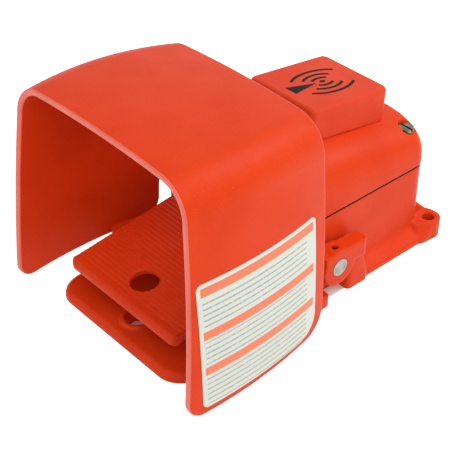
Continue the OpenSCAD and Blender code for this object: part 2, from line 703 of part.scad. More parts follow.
module switch_lever() color("silver") difference() {
  union() {
    bar_x(-4.8, 4.8, lever_y, lever_z, 3);
    translate([-4, 34, lever_z - 2]) cube([8, lever_y - 34, lever_t]);
  }
  bar_x(-10, 10, lever_y, lever_z, 2.1);
}

module switch_button() color("firebrick") translate([0, button_y, lever_z - 2 + lever_t + 0.15])
  cylinder(h = 5.4, d = 4, $fn = 48);

module switch_screws() color("silver") for (y = [52, 78])
  translate([plate_x + 2, y, 72]) rotate([0, 90, 0]) screw(4, 2 * body_half + 3, 7, 2.6);

// ---- Battery holder and its wiring
holder_x = -15.5;            // centre, width and ends of the tray
holder_w = 34;
holder_y = [43.8, 105.8];
cell_d = 14.5;
cell_l = 50.5;
cell_x = [-23.7, -7.3];
cell_y = 49.7;

module battery_holder() color("#222326") difference() {
  union() {
    translate([holder_x - holder_w / 2, holder_y[0], holder_z])
      cube([holder_w, holder_y[1] - holder_y[0], 14]);
    translate([holder_x - 5, holder_y[0] - 6.2, holder_z]) cube([10, holder_y[1] - holder_y[0] + 12.4, 2]);
  }
  for (x = cell_x) translate([x, cell_y - 3, holder_z + 2 + cell_d / 2]) rotate([-90, 0, 0])
    cylinder(h = cell_l + 6, d = cell_d + 0.6);
  translate([cell_x[0], cell_y - 3, holder_z + 2 + cell_d / 2])
    cube([cell_x[1] - cell_x[0], cell_l + 6, 20]);
  for (p = holder_post) translate([p[0], p[1], 0]) cylinder(h = 20, d = 3.2, $fn = 32);
}

module holder_screws() color("silver") for (p = holder_post) translate([p[0], p[1], holder_z + 2])
  screw(3, 6.5, 5.2, 1.8, 0.8);

module batteries() color("darkseagreen") for (i = [0, 1]) {
  translate([cell_x[i], cell_y, holder_z + 2.3 + cell_d / 2]) rotate([-90, 0, 0])
    cylinder(h = cell_l, d = cell_d);
  translate([cell_x[i], i == 0 ? cell_y + cell_l - eps : cell_y + eps, holder_z + 2.3 + cell_d / 2])
    rotate([i == 0 ? -90 : 90, 0, 0]) cylinder(h = 1.4, d = 5.4);
}

module battery_contacts() color("silver") for (y = [46.9, cell_y + cell_l + 1.7])
  translate([cell_x[0] - 5, y, holder_z + 9.6]) cube([cell_x[1] - cell_x[0] + 10, 0.5, 6.4]);

// Leads: from the switch and the holder up through the cover to the radio board
wire_d = 1.6;
lead_routes = [
  [[-1.2, 65, 86.3], [-1.3, 64.9, 87.5], [-2, 62, 91], [-1.5, 60, 96], [-3, 60, 102], [-6, 62, 110.5]],
  [[1.2, 83, 86.7], [1.2, 83, 87.4], [2.5, 72, 88], [2, 62.5, 91], [1.5, 60.2, 96], [2, 60, 102],
    [5, 62, 110.5]],
  [[-23.7, 47.2, 25.2], [-22.5, 45, 40], [-20, 46, 60], [-16, 52, 76], [-8, 57, 86], [0.2, 58, 92],
    [0, 57.8, 98], [-1, 57, 103], [-9, 58, 111]]];

function spline(p, i, t) =
  let (n = len(p) - 1, a = p[max(i - 1, 0)], b = p[i], c = p[min(i + 1, n)], d = p[min(i + 2, n)])
  0.5 * (2 * b + (c - a) * t + (2 * a - 5 * b + 4 * c - d) * t * t + (3 * b - a - 3 * c + d) * t * t * t);
function route(p) = concat([for (i = [0:len(p) - 2], k = [0:2]) spline(p, i, k / 3)], [p[len(p) - 1]]);
function frames_of(q) = [for (i = [0:len(q) - 1])
  let (t = q[min(i + 1, len(q) - 1)] - q[max(i - 1, 0)], u = t / norm(t), a = cross(u, [0.8, 0.6, 0.02]),
    side = a / norm(a))
  [q[i], side, cross(u, side)]];

module lead_wires() color("firebrick") for (r = lead_routes) swept(frames_of(route(r)), wire_d / 2, 8);

base_casting();
box_walls();
cover();
cover_gasket();
cover_screws();
guard();
guard_screws();
guard_washers();
side_label();
treadle();
treadle_shaft();
shaft_bushes();
shaft_o_rings();
arm_set_screws();
actuator_cam();
cam_set_screws();
torsion_springs();
switch_bracket();
bracket_screws();
micro_switch();
switch_terminals();
switch_lever();
switch_button();
switch_screws();
radio_housing();
radio_gasket();
radio_screws();
radio_board();
board_screws();
radio_antenna();
battery_holder();
holder_screws();
batteries();
battery_contacts();
lead_wires();
conduit_plug();
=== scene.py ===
import json
import math

import bmesh
import bpy
import numpy as np
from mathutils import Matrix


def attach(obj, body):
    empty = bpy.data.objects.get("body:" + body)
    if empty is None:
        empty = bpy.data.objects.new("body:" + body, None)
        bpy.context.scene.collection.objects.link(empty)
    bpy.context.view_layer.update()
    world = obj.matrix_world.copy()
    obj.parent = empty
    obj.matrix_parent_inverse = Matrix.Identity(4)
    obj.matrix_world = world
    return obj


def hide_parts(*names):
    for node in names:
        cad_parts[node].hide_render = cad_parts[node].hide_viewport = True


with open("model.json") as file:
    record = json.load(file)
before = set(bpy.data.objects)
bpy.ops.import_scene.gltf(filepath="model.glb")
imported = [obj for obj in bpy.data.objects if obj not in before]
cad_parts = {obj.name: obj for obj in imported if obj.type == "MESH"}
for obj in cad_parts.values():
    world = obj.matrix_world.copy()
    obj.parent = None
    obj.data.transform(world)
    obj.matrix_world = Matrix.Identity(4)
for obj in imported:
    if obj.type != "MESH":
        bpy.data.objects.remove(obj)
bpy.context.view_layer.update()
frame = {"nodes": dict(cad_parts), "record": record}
mm = 0.001
print("frame loaded:", len(frame["nodes"]), "nodes")

# the camera: a three-quarter view from above the label side
view = {
    "place": (474.2, -441.6, 516.1),   # mm
    "elevation": 36.7,                 # degrees above the floor
    "azimuth": 48.43,
    "lens": 95.33, "sensor": 36.0,     # mm
}


def placeCamera(settings):
    # tilted up from straight down by 90 less the elevation, then turned about Z by the azimuth
    data = bpy.data.cameras.new("camera")
    data.lens = settings["lens"]
    data.sensor_width = settings["sensor"]
    camera = bpy.data.objects.new("camera", data)
    camera.location = [v * mm for v in settings["place"]]
    camera.rotation_euler = (math.radians(90 - settings["elevation"]), 0, math.radians(settings["azimuth"]))
    bpy.context.scene.collection.objects.link(camera)
    bpy.context.scene.camera = camera


placeCamera(view)


def linear(hexColour):
    # sRGB hex to linear light, with full alpha
    parts = [int(hexColour[i:i + 2], 16) / 255 for i in (1, 3, 5)]
    return [c / 12.92 if c <= 0.04045 else ((c + 0.055) / 1.055) ** 2.4 for c in parts] + [1.0]


def addNode(tree, kind, inputs=None, **settings):
    # one node with its settings, its input values and its links
    node = tree.nodes.new(kind)
    for name, value in settings.items():
        setattr(node, name, value)
    for name, value in (inputs or {}).items():
        if isinstance(value, bpy.types.NodeSocket):
            tree.links.new(value, node.inputs[name])
        else:
            node.inputs[name].default_value = value
    return node


def perMm(size):
    # texture scale for a feature of this size in mm, since Object coordinates are metres
    return 1 / (size * mm)


def startMaterial(name):
    # an empty material, and the Object coordinates that its textures lie in
    material = bpy.data.materials.new(name)
    material.use_nodes = True
    tree = material.node_tree
    tree.nodes.clear()
    place = addNode(tree, "ShaderNodeTexCoord").outputs["Object"]
    return material, tree, place


def finishMaterial(tree, inputs):
    # one surface shader with these inputs, wired to the output
    shader = addNode(tree, "ShaderNodeBsdfPrincipled", inputs)
    addNode(tree, "ShaderNodeOutputMaterial", {"Surface": shader.outputs["BSDF"]})


def blendColours(tree, factor, first, second):
    # sockets 6 and 7 are the two colours of a colour mix, and output 2 is its result
    mix = addNode(tree, "ShaderNodeMix", {0: factor, 6: first, 7: second}, data_type="RGBA")
    return mix.outputs[2]


def calc(tree, operation, first, second=0.0):
    # one sum; each operand is a number or a socket
    return addNode(tree, "ShaderNodeMath", {0: first, 1: second}, operation=operation).outputs[0]


def ramp(tree, value, low, high, start=0.0, end=1.0):
    # carries low...high over to start...end, held at both ends
    node = addNode(tree, "ShaderNodeMapRange", {"Value": value, "From Min": low, "From Max": high,
                                                "To Min": start, "To Max": end})
    return node.outputs["Result"]


def powderCoat(name, main, deep, pale, grain=0.9, rough=0.4, shine=0.12):
    # polyester powder coat on a die casting: a fine orange-peel skin with pale and dark specks, satin
    material, tree, place = startMaterial(name)
    clouds = addNode(tree, "ShaderNodeTexNoise", {"Vector": place, "Scale": perMm(30), "Detail": 3.0})
    peel = addNode(tree, "ShaderNodeTexNoise", {"Vector": place, "Scale": perMm(grain), "Detail": 2.0})
    lumps = addNode(tree, "ShaderNodeTexNoise", {"Vector": place, "Scale": perMm(3.2), "Detail": 2.0})
    cloudy = blendColours(tree, ramp(tree, clouds.outputs["Fac"], 0.35, 0.68), linear(main), linear(deep))
    darker = blendColours(tree, ramp(tree, peel.outputs["Fac"], 0.58, 0.74, end=0.45), cloudy, linear(deep))
    paleSpecks = ramp(tree, peel.outputs["Fac"], 0.42, 0.28, end=0.4)
    speckled = blendColours(tree, paleSpecks, darker, linear(pale))
    skin = addNode(tree, "ShaderNodeBump", {"Height": peel.outputs["Fac"], "Strength": 0.3,
                                            "Distance": 0.14 * mm})
    waves = addNode(tree, "ShaderNodeBump", {"Height": lumps.outputs["Fac"], "Strength": 0.18,
                                             "Distance": 0.25 * mm, "Normal": skin.outputs["Normal"]})
    gloss = ramp(tree, clouds.outputs["Fac"], 0.3, 0.7, start=rough - 0.04, end=rough + 0.06)
    finishMaterial(tree, {"Base Color": speckled, "Roughness": gloss, "IOR": 1.5,
                          "Specular IOR Level": shine, "Normal": waves.outputs["Normal"]})
    return material


def platedMetal(name, light, dark, rough=0.3, stretch=(1, 1, 14), grain=0.5):
    # turned or rolled metal: fine drawn-out scratches in the surface, and a faint stain
    material, tree, place = startMaterial(name)
    drawn = addNode(tree, "ShaderNodeMapping", {"Vector": place, "Scale": stretch}).outputs["Vector"]
    scratch = addNode(tree, "ShaderNodeTexNoise", {"Vector": drawn, "Scale": perMm(grain), "Detail": 3.0})
    stain = addNode(tree, "ShaderNodeTexNoise", {"Vector": place, "Scale": perMm(5), "Detail": 2.0})
    colour = blendColours(tree, ramp(tree, stain.outputs["Fac"], 0.35, 0.7), linear(light), linear(dark))
    bump = addNode(tree, "ShaderNodeBump", {"Height": scratch.outputs["Fac"], "Strength": 0.25,
                                            "Distance": 0.03 * mm})
    gloss = ramp(tree, scratch.outputs["Fac"], 0.0, 1.0, start=rough - 0.06, end=rough + 0.12)
    finishMaterial(tree, {"Base Color": colour, "Metallic": 1.0, "Roughness": gloss,
                          "Normal": bump.outputs["Normal"]})
    return material


def mouldedPolymer(name, main, deep, rough=0.5, grain=0.4, ior=1.5, shine=0.4):
    # moulded or cast polymer: an even colour with a fine spark-eroded grain
    material, tree, place = startMaterial(name)
    grains = addNode(tree, "ShaderNodeTexNoise", {"Vector": place, "Scale": perMm(grain), "Detail": 2.0})
    clouds = addNode(tree, "ShaderNodeTexNoise", {"Vector": place, "Scale": perMm(12), "Detail": 2.0})
    colour = blendColours(tree, ramp(tree, clouds.outputs["Fac"], 0.35, 0.7), linear(main), linear(deep))
    bump = addNode(tree, "ShaderNodeBump", {"Height": grains.outputs["Fac"], "Strength": 0.15,
                                            "Distance": 0.05 * mm})
    finishMaterial(tree, {"Base Color": colour, "Roughness": rough, "IOR": ior, "Specular IOR Level": shine,
                          "Normal": bump.outputs["Normal"]})
    return material


labelForm = {
    "front": -119.3, "rear": -22.0, "low": 7.4, "high": 97.3,     # mm, the film's edges in Y and Z
    "rise": 1.5,                                                  # of its lower edge towards the rear
    "corner": 4.0, "lowRearCorner": 15.0,
    "gap": 0.1, "thickness": 0.3,
    "bandTops": (94.6, 64.4, 38.3), "bandHeight": 6.0, "bandMargin": 2.6,
    "rulePitch": 3.9, "ruleHeight": 1.15, "ruleMargin": 3.4, "ruleShortfall": 6.0,
    "blockGaps": (1.6, 1.5), "lastFoot": 9.5,       # below and above each band; the lowest block's foot
    "film": "#D3D7CD", "band": "#E8754C", "rule": "#98A198",
}


def labelFilm(form):
    # screen-printed polyester film: three plain bands, each over a block of plain rules.
    # UV holds millimetres: U along the film from its front edge, V the height above the floor
    material, tree, place = startMaterial("labelFilm")
    uv = addNode(tree, "ShaderNodeUVMap", uv_map="filmMm").outputs["UV"]
    parts = addNode(tree, "ShaderNodeSeparateXYZ", {"Vector": uv})
    along, height = parts.outputs["X"], parts.outputs["Y"]
    length = form["rear"] - form["front"]

    def between(value, low, high, soft=0.25):
        # 1 inside the interval, with soft edges
        off = calc(tree, "ABSOLUTE", calc(tree, "SUBTRACT", value, (low + high) / 2))
        return ramp(tree, off, (high - low + soft) / 2, (high - low - soft) / 2)

    tops = form["bandTops"]
    bands, blocks = 0.0, 0.0
    below, above = form["blockGaps"]
    for top, foot in zip(tops, [t + above for t in tops[1:]] + [form["lastFoot"]]):
        bands = calc(tree, "MAXIMUM", bands, between(height, top - form["bandHeight"], top))
        blocks = calc(tree, "MAXIMUM", blocks, between(height, foot, top - form["bandHeight"] - below))
    bands = calc(tree, "MULTIPLY", bands, between(along, form["bandMargin"], length - form["bandMargin"]))
    phase = calc(tree, "FRACT", calc(tree, "DIVIDE", height, form["rulePitch"]))
    share = form["ruleHeight"] / form["rulePitch"]                # of each pitch that the rule fills
    rule = between(phase, 0.5 - share / 2, 0.5 + share / 2, soft=0.12)
    width = between(along, form["ruleMargin"], length - form["ruleMargin"] - form["ruleShortfall"])
    rules = calc(tree, "MULTIPLY", calc(tree, "MULTIPLY", blocks, rule), width)
    worn = addNode(tree, "ShaderNodeTexNoise", {"Vector": place, "Scale": perMm(1.6), "Detail": 2.0})
    fade = worn.outputs["Fac"]
    printed = calc(tree, "MULTIPLY", rules, ramp(tree, fade, 0.2, 0.5))
    ruled = blendColours(tree, printed, linear(form["film"]), linear(form["rule"]))
    colour = blendColours(tree, bands, ruled, linear(form["band"]))
    film = addNode(tree, "ShaderNodeBump", {"Height": fade, "Strength": 0.05, "Distance": 0.05 * mm})
    finishMaterial(tree, {"Base Color": colour, "Roughness": 0.45, "IOR": 1.5,
                          "Normal": film.outputs["Normal"]})
    return material


paint = powderCoat("powderCoatedCasting", "#DB3E12", "#D5390F", "#E2502A")
radioPaint = powderCoat("powderCoatedLid", "#DB4322", "#D53E1D", "#E2573A", grain=0.8, rough=0.46)
# the casting's paint made paler for the guard's rim: a painted reflection of the pale floor, not a
# different coat
rimPaintedReflection = powderCoat("powderCoatedRimPaintedReflection", "#E8624C", "#E25740", "#EE7A66", grain=0.7, rough=0.36, shine=0.5)
film = labelFilm(labelForm)
zinc = platedMetal("zincPlatedSteel", "#96917F", "#6A6656", rough=0.36)
groundSteel = platedMetal("groundSteel", "#9C9E98", "#83857F", rough=0.38, stretch=(1, 1, 1), grain=0.35)
blackOxide = platedMetal("blackOxideSteel", "#2B2A2A", "#1C1B1B", rough=0.42)
springWire = platedMetal("oiledSpringSteel", "#6E7074", "#55565A", rough=0.3)
stainless = platedMetal("rolledStainless", "#C2C2BE", "#A9A9A4", rough=0.28)
bronze = platedMetal("sinteredBronze", "#A9793F", "#8D622F", rough=0.45)
brass = platedMetal("rolledBrass", "#C9A256", "#AE873F", rough=0.32)
rubber = mouldedPolymer("nitrileRubber", "#2A1813", "#1B100D", rough=0.72, ior=1.52, shine=0.15)
phenolic = mouldedPolymer("blackPhenolic", "#1C1C1F", "#121214", rough=0.4)
redNylon = mouldedPolymer("redNylon", "#9E1B12", "#86140D", rough=0.38)
boardResin = mouldedPolymer("greenBoardResin", "#14532B", "#0E4021", rough=0.3)
cellWrap = mouldedPolymer("cellShrinkWrap", "#3B5A63", "#2F4A52", rough=0.28)
insulation = mouldedPolymer("wireInsulation", "#A31C14", "#8C160F", rough=0.45)
ink = mouldedPolymer("blackPadInk", "#15120F", "#0D0B0A", rough=0.55, grain=0.5, shine=0.1)
print("materials made:", len(bpy.data.materials))

finishes = {
    "painted_casting": paint, "radio_shell": radioPaint, "label_stock": film, "black_rubber": rubber,
    "zinc_steel": zinc, "ground_steel": groundSteel, "black_steel": blackOxide, "spring_steel": springWire,
    "stainless_leaf": stainless, "bronze": bronze, "brass": brass, "black_plastic": phenolic,
    "red_plastic": redNylon, "circuit_board": boardResin, "cell_wrap": cellWrap,
    "wire_insulation": insulation,
}


def dressNodes():
    # every CAD node takes the finish of its record slot
    for part in frame["record"]["subparts"]:
        node = frame["nodes"][part["node"]]
        node.data.materials.clear()
        node.data.materials.append(finishes[part["material_slot"]])


dressNodes()


# every surface below is a grid of points in millimetres
def gridFaces(rows, cols, wrapCols=False):
    # quads between neighbouring rows and columns; wrapCols joins the last column to the first
    a, b = np.meshgrid(np.arange(rows - 1), np.arange(cols if wrapCols else cols - 1), indexing="ij")
    here, beside = a * cols + b, a * cols + (b + 1) % cols
    return np.stack([here, beside, beside + cols, here + cols], -1).reshape(-1, 4)


def makeObject(name, points, faces, weld=0.001, sharp=None, coats=None):
    # joins doubled points, turns a closed mesh outwards by the sign of its volume, and shades it smooth;
    # coats gives each face its material's index
    mesh = bpy.data.meshes.new(name)
    mesh.from_pydata((np.asarray(points, float) * mm).tolist(), [], [list(map(int, f)) for f in faces])
    if coats is not None:
        mesh.polygons.foreach_set("material_index", coats)
    piece = bpy.data.objects.new(name, mesh)
    bpy.context.scene.collection.objects.link(piece)
    tidyMesh(mesh, weld)
    smoothShade(mesh, sharp)
    return piece


def tidyMesh(mesh, weld):
    # joins points nearer than weld and turns the faces outwards
    shape = bmesh.new()
    shape.from_mesh(mesh)
    bmesh.ops.remove_doubles(shape, verts=shape.verts, dist=weld * mm)
    bmesh.ops.dissolve_degenerate(shape, edges=shape.edges, dist=weld * mm)
    bmesh.ops.recalc_face_normals(shape, faces=shape.faces)
    if shape.calc_volume(signed=True) < 0:
        bmesh.ops.reverse_faces(shape, faces=shape.faces)
    shape.to_mesh(mesh)
    shape.free()


def smoothShade(mesh, sharp=None):
    # smooth, apart from edges that turn by more than this many degrees
    mesh.polygons.foreach_set("use_smooth", np.ones(len(mesh.polygons), bool))
    if sharp:
        mesh.set_sharp_from_angle(angle=math.radians(sharp))
    mesh.update()


def dress(piece, materials, body, replaced=()):
    # a piece's materials, the body that it rides and the nodes that it stands in for, which are hidden
    while len(piece.data.materials) < len(materials):
        piece.data.materials.append(None)
    for place, material in enumerate(materials):
        piece.data.materials[place] = material
    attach(piece, body)
    if replaced:
        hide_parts(*replaced)


def unit(vectors):
    # each vector over its own length
    return vectors / np.maximum(np.linalg.norm(vectors, axis=-1, keepdims=True), 1e-12)


def applyModifiers(piece):
    # bakes the modifiers into the mesh
    depsgraph = bpy.context.evaluated_depsgraph_get()
    baked = bpy.data.meshes.new_from_object(piece.evaluated_get(depsgraph))
    old = piece.data
    piece.modifiers.clear()
    piece.data = baked
    baked.name = old.name
    bpy.data.meshes.remove(old)


def castSkin(piece, voxel, rounds):
    # the soft edges of a casting: an even skin of this voxel size, relaxed a few rounds
    remesh = piece.modifiers.new("skin", "REMESH")
    remesh.mode = "VOXEL"
    remesh.voxel_size = voxel * mm
    remesh.use_smooth_shade = True
    relax = piece.modifiers.new("relax", "SMOOTH")
    relax.factor = 0.5
    relax.iterations = rounds
    applyModifiers(piece)
    smoothShade(piece.data)


def readPoints(mesh):
    # the points of a mesh in millimetres
    flat = np.empty(len(mesh.vertices) * 3)
    mesh.vertices.foreach_get("co", flat)
    return flat.reshape(-1, 3) / mm


def writePoints(mesh, points):
    # points in millimetres back into their mesh
    mesh.vertices.foreach_set("co", (points * mm).ravel())
    mesh.update()


def cut(piece, cutters):
    # takes each cutter's volume out of the piece and throws the cutters away
    for cutter in cutters:
        bpy.context.view_layer.update()
        tool = piece.modifiers.new("cut", "BOOLEAN")
        tool.operation = "DIFFERENCE"
        tool.solver = "EXACT"
        tool.object = cutter
        applyModifiers(piece)
        mesh = cutter.data
        bpy.data.objects.remove(cutter)
        bpy.data.meshes.remove(mesh)


def copyNodes(nodeNames, name):
    # one merged copy of some CAD nodes' meshes, to be given a casting's skin
    shape = bmesh.new()
    for nodeName in nodeNames:
        shape.from_mesh(frame["nodes"][nodeName].data)
    mesh = bpy.data.meshes.new(name)
    shape.to_mesh(mesh)
    shape.free()
    piece = bpy.data.objects.new(name, mesh)
    bpy.context.scene.collection.objects.link(piece)
    tidyMesh(mesh, 0.002)
    return piece


def turnAboutX(points, degrees, centre):
    # turns points about an axis along X through centre (y, z)
    a = math.radians(degrees)
    y, z = points[..., 1] - centre[0], points[..., 2] - centre[1]
    turned = points.copy()
    turned[..., 1] = centre[0] + y * math.cos(a) - z * math.sin(a)
    turned[..., 2] = centre[1] + y * math.sin(a) + z * math.cos(a)
    return turned


def roundedOutline(low, high, radius, steps=8):
    # corner arcs of a rectangle, counter-clockwise
    centres = [(high[0] - radius, high[1] - radius), (low[0] + radius, high[1] - radius),
               (low[0] + radius, low[1] + radius), (high[0] - radius, low[1] + radius)]
    points = []
    for i, centre in enumerate(centres):
        a = np.linspace(i * 90, i * 90 + 90, steps + 1) * math.pi / 180
        points.append(np.stack([centre[0] + radius * np.cos(a), centre[1] + radius * np.sin(a)], -1))
    return np.concatenate(points)


def slab(name, outline, z0, z1, edge, steps=4):
    # an outline carried up between two heights, with its upper and lower edges rounded
    centre = outline.mean(0)
    step = unit(np.roll(outline, -1, 0) - np.roll(outline, 1, 0))
    inward = np.stack([-step[:, 1], step[:, 0]], -1)
    a = np.linspace(0, 90, steps + 1) * math.pi / 180
    insets = np.concatenate([edge * (1 - np.sin(a)), edge * (1 - np.cos(a))])
    heights = np.concatenate([z0 + edge * (1 - np.cos(a)), z1 - edge * (1 - np.sin(a))])
    rings = [np.column_stack([outline + inward * i, np.full(len(outline), h)])
             for i, h in zip(insets, heights)]
    low = np.column_stack([np.repeat(centre[None], len(outline), 0), np.full(len(outline), z0)])
    high = low + [0, 0, z1 - z0]
    rings = np.stack([low] + rings + [high])
    return makeObject(name, rings.reshape(-1, 3), gridFaces(*rings.shape[:2], wrapCols=True), sharp=40)


def tube(name, start, end, radius, steps=48):
    # a plain closed cylinder, used for cutting
    start, end = np.array(start, float), np.array(end, float)
    axis = unit(end - start)
    side = unit(np.cross(axis, [0.3, 0.9, 0.2]))
    up = np.cross(axis, side)
    a = np.linspace(0, 2 * math.pi, steps, endpoint=False)[:, None]
    circle = radius * (np.cos(a) * side + np.sin(a) * up)
    rings = np.stack([start + 0 * circle, start + circle, end + circle, end + 0 * circle])
    return makeObject(name, rings.reshape(-1, 3), gridFaces(4, steps, wrapCols=True))


def closedRings(name, parts, sharp=None):
    # rings of points, each part closed at both ends by a fan
    points, faces, start = [], [], 0
    for rings in parts:
        first = np.repeat(rings[:1].mean(1, keepdims=True), rings.shape[1], 1)
        last = np.repeat(rings[-1:].mean(1, keepdims=True), rings.shape[1], 1)
        rings = np.concatenate([first, rings, last])
        points.append(rings.reshape(-1, 3))
        faces.append(gridFaces(*rings.shape[:2], wrapCols=True) + start)
        start += rings.shape[0] * rings.shape[1]
    return makeObject(name, np.concatenate(points), np.concatenate(faces), sharp=sharp)


# the guard: a bowed sheet of even thickness with a flat rim and small round edges
guardForm = {
    "frontHeight": 160.0, "rearHeight": 154.0, "halfFront": 83.7, "halfRear": 77.4,
    "wall": 4.5, "edgeRadius": 0.9, "cornerRadius": 25.0, "lift": 2.4, "rise": 2.7,
    "frontY": -130.3, "frontLean": 0.073, "rearY": -13.1, "rearLean": 0.031,
    "flare": 0.082, "flareLevel": 80.0, "bowZ": 13.1, "bowY": 21.2,
    "crown": 2.75, "crownHalf": 70.0, "topBow": 14.2, "length": 114.0, "cornerLevel": 128.0,
    "lowFrontRadius": 12.0, "lowRearRadius": 17.0,
    "columns": 60, "edgeSteps": 4,
    "rows": (14, 46, 20, 26),                       # in the lower round, the wall, the corner, half the top
    "footLow": (61.0, -54.0), "footHigh": (86.5, -29.5), "footRadius": 2.5,      # flanges inside the walls
    "footZ": (6.0, 10.0), "footEdge": 0.5,
    "footHoles": ((70.0, -48.0), (70.0, -35.0)), "footHoleRadius": 2.75,
}
riseFade = 60.0     # mm up the wall over which the lower edge's rise fades out


def guardHalf(form, s, z):
    # half width: linear from front to rear, bowed along both ways, leaning in with height
    h = z / form["frontHeight"]
    return (form["halfFront"] * (1 - s) + form["halfRear"] * s + form["bowY"] * s * (1 - s)
            + form["flare"] * (form["flareLevel"] - z) + form["bowZ"] * h * (1 - h))


def guardTop(form, s, x):
    # crest height, bowed from front to rear and falling with the square of x
    return (form["frontHeight"] * (1 - s) + form["rearHeight"] * s + form["topBow"] * s * (1 - s)
            - form["crown"] * (x / form["crownHalf"]) ** 2)


def setback(radius, height):
    # how far a round corner of this radius stands back at a height above its lower edge
    low = np.clip(radius - height, 0, radius)
    return radius - np.sqrt(radius ** 2 - low ** 2)


def risen(height, low, rise, s):
    # the lower edge rises towards the rear, a rise that fades out up the wall
    return height + rise * s * np.clip(1 - (height - low) / riseFade, 0, 1)


def guardSkin(form):
    # the outer skin's grid, inset by the edge's radius, from the right lower edge over to the left one
    inset = form["edgeRadius"]
    s = np.linspace(0, 1, form["columns"])[None, :]
    bottom = form["lift"] + inset
    rearRadius, frontRadius = form["lowRearRadius"] - inset, form["lowFrontRadius"] - inset
    lowRows, wallRows, cornerRows, topRows = form["rows"]
    share = inset / form["length"]
    inner = share + s * (1 - 2 * share)
    span = guardHalf(form, inner, form["cornerLevel"]) - form["cornerRadius"]
    cornerZ = guardTop(form, inner, span) - form["cornerRadius"]

    low = bottom + rearRadius * (1 - np.cos(np.linspace(0, math.pi / 2, lowRows)))[:, None]
    rise = np.linspace(0, 1, wallRows)[1:, None]
    h = np.concatenate([low + 0 * s, (bottom + rearRadius) * (1 - rise) + cornerZ * rise])
    z = risen(h, bottom, form["rise"], s)
    y0 = form["frontY"] + form["frontLean"] * z
    y1 = form["rearY"] + form["rearLean"] * z
    y = ((y0 + inset + setback(frontRadius, h - bottom)) * (1 - s)
         + (y1 - inset - setback(rearRadius, h - bottom)) * s)
    wall = np.stack([guardHalf(form, (y - y0) / (y1 - y0), z), y, z], -1)

    angle = np.linspace(0, math.pi / 2, cornerRows)[1:, None]
    centreX = guardHalf(form, inner, cornerZ) - form["cornerRadius"]
    zc = cornerZ + form["cornerRadius"] * np.sin(angle)
    xc = centreX + form["cornerRadius"] * np.cos(angle)
    across = np.linspace(1, 0, topRows)[1:, None]
    xt = centreX * across
    zt = guardTop(form, inner, xt)
    x, z = np.concatenate([xc, xt]), np.concatenate([zc, zt])
    y = ((form["frontY"] + form["frontLean"] * z + inset) * (1 - s)
         + (form["rearY"] + form["rearLean"] * z - inset) * s)
    right = np.concatenate([wall, np.stack([x, y, z], -1)])
    left = right[-2::-1] * [-1, 1, 1]
    return np.concatenate([right, left])


def rimmedSheet(name, skin, thickness, radius, steps):
    # a sheet under an outer skin. Its border carries a rim: a quarter round, a flat and a quarter round,
    # set out from the border along the cross product of the border's tangent and the skin's normal
    rows, cols = skin.shape[:2]
    normal = unit(np.cross(unit(np.gradient(skin, axis=1)), unit(np.gradient(skin, axis=0))))
    if np.mean(normal[rows // 2, :, 2]) < 0:
        normal = -normal
    inner = skin - normal * thickness
    index = np.arange(rows * cols).reshape(rows, cols)
    border = np.concatenate([index[0], index[1:, -1], index[-1, -2::-1], index[-2:0:-1, 0]])
    edge, edgeNormal = skin.reshape(-1, 3)[border], normal.reshape(-1, 3)[border]
    tangent = unit(np.roll(edge, -1, 0) - np.roll(edge, 1, 0))
    outward = unit(np.cross(tangent, edgeNormal))
    if np.mean(np.sum(outward * (edge - skin.mean((0, 1))), -1)) < 0:
        outward = -outward
    turn = np.linspace(0, math.pi / 2, steps + 1)[1:]
    depth = np.concatenate([radius * (1 - np.cos(turn)), thickness - radius * (1 - np.cos(turn[::-1]))])
    reach = np.concatenate([radius * np.sin(turn), radius * np.sin(turn[::-1])])
    rim = [edge - edgeNormal * d + outward * r for d, r in zip(depth, reach)]
    size, count = rows * cols, len(border)
    layers = [border] + [2 * size + k * count + np.arange(count) for k in range(len(rim))] + [size + border]
    bands = [np.stack([a, np.roll(a, -1), np.roll(b, -1), b], -1) for a, b in zip(layers[:-1], layers[1:])]
    sheet = gridFaces(rows, cols)
    faces = np.concatenate([sheet, sheet[:, ::-1] + size] + bands)
    points = np.concatenate([skin.reshape(-1, 3), inner.reshape(-1, 3)] + rim)
    coats = np.repeat([0, 1], [2 * len(sheet), len(bands) * count])
    return makeObject(name, points, faces, weld=0.005, coats=coats)


def makeGuard(form):
    # the sheet, with its rim in a paler copy of the paint that is a painted reflection of the pale floor,
    # and the two drilled feet that carry it
    guard = rimmedSheet("guard_shell", guardSkin(form), form["wall"], form["edgeRadius"], form["edgeSteps"])
    dress(guard, [paint, rimPaintedReflection], "root", ["guard"])
    for side, name in ((1, "guard_foot_right"), (-1, "guard_foot_left")):
        outline = roundedOutline(form["footLow"], form["footHigh"], form["footRadius"]) * [side, 1]
        low, high = form["footZ"]
        foot = slab(name, outline[::side], low, high, form["footEdge"])
        cut(foot, [tube("drill", (side * x, y, 0), (side * x, y, 2 * high), form["footHoleRadius"])
                   for x, y in form["footHoles"]])
        smoothShade(foot.data, 40)
        dress(foot, [paint], "root")


makeGuard(guardForm)
print("guard made")


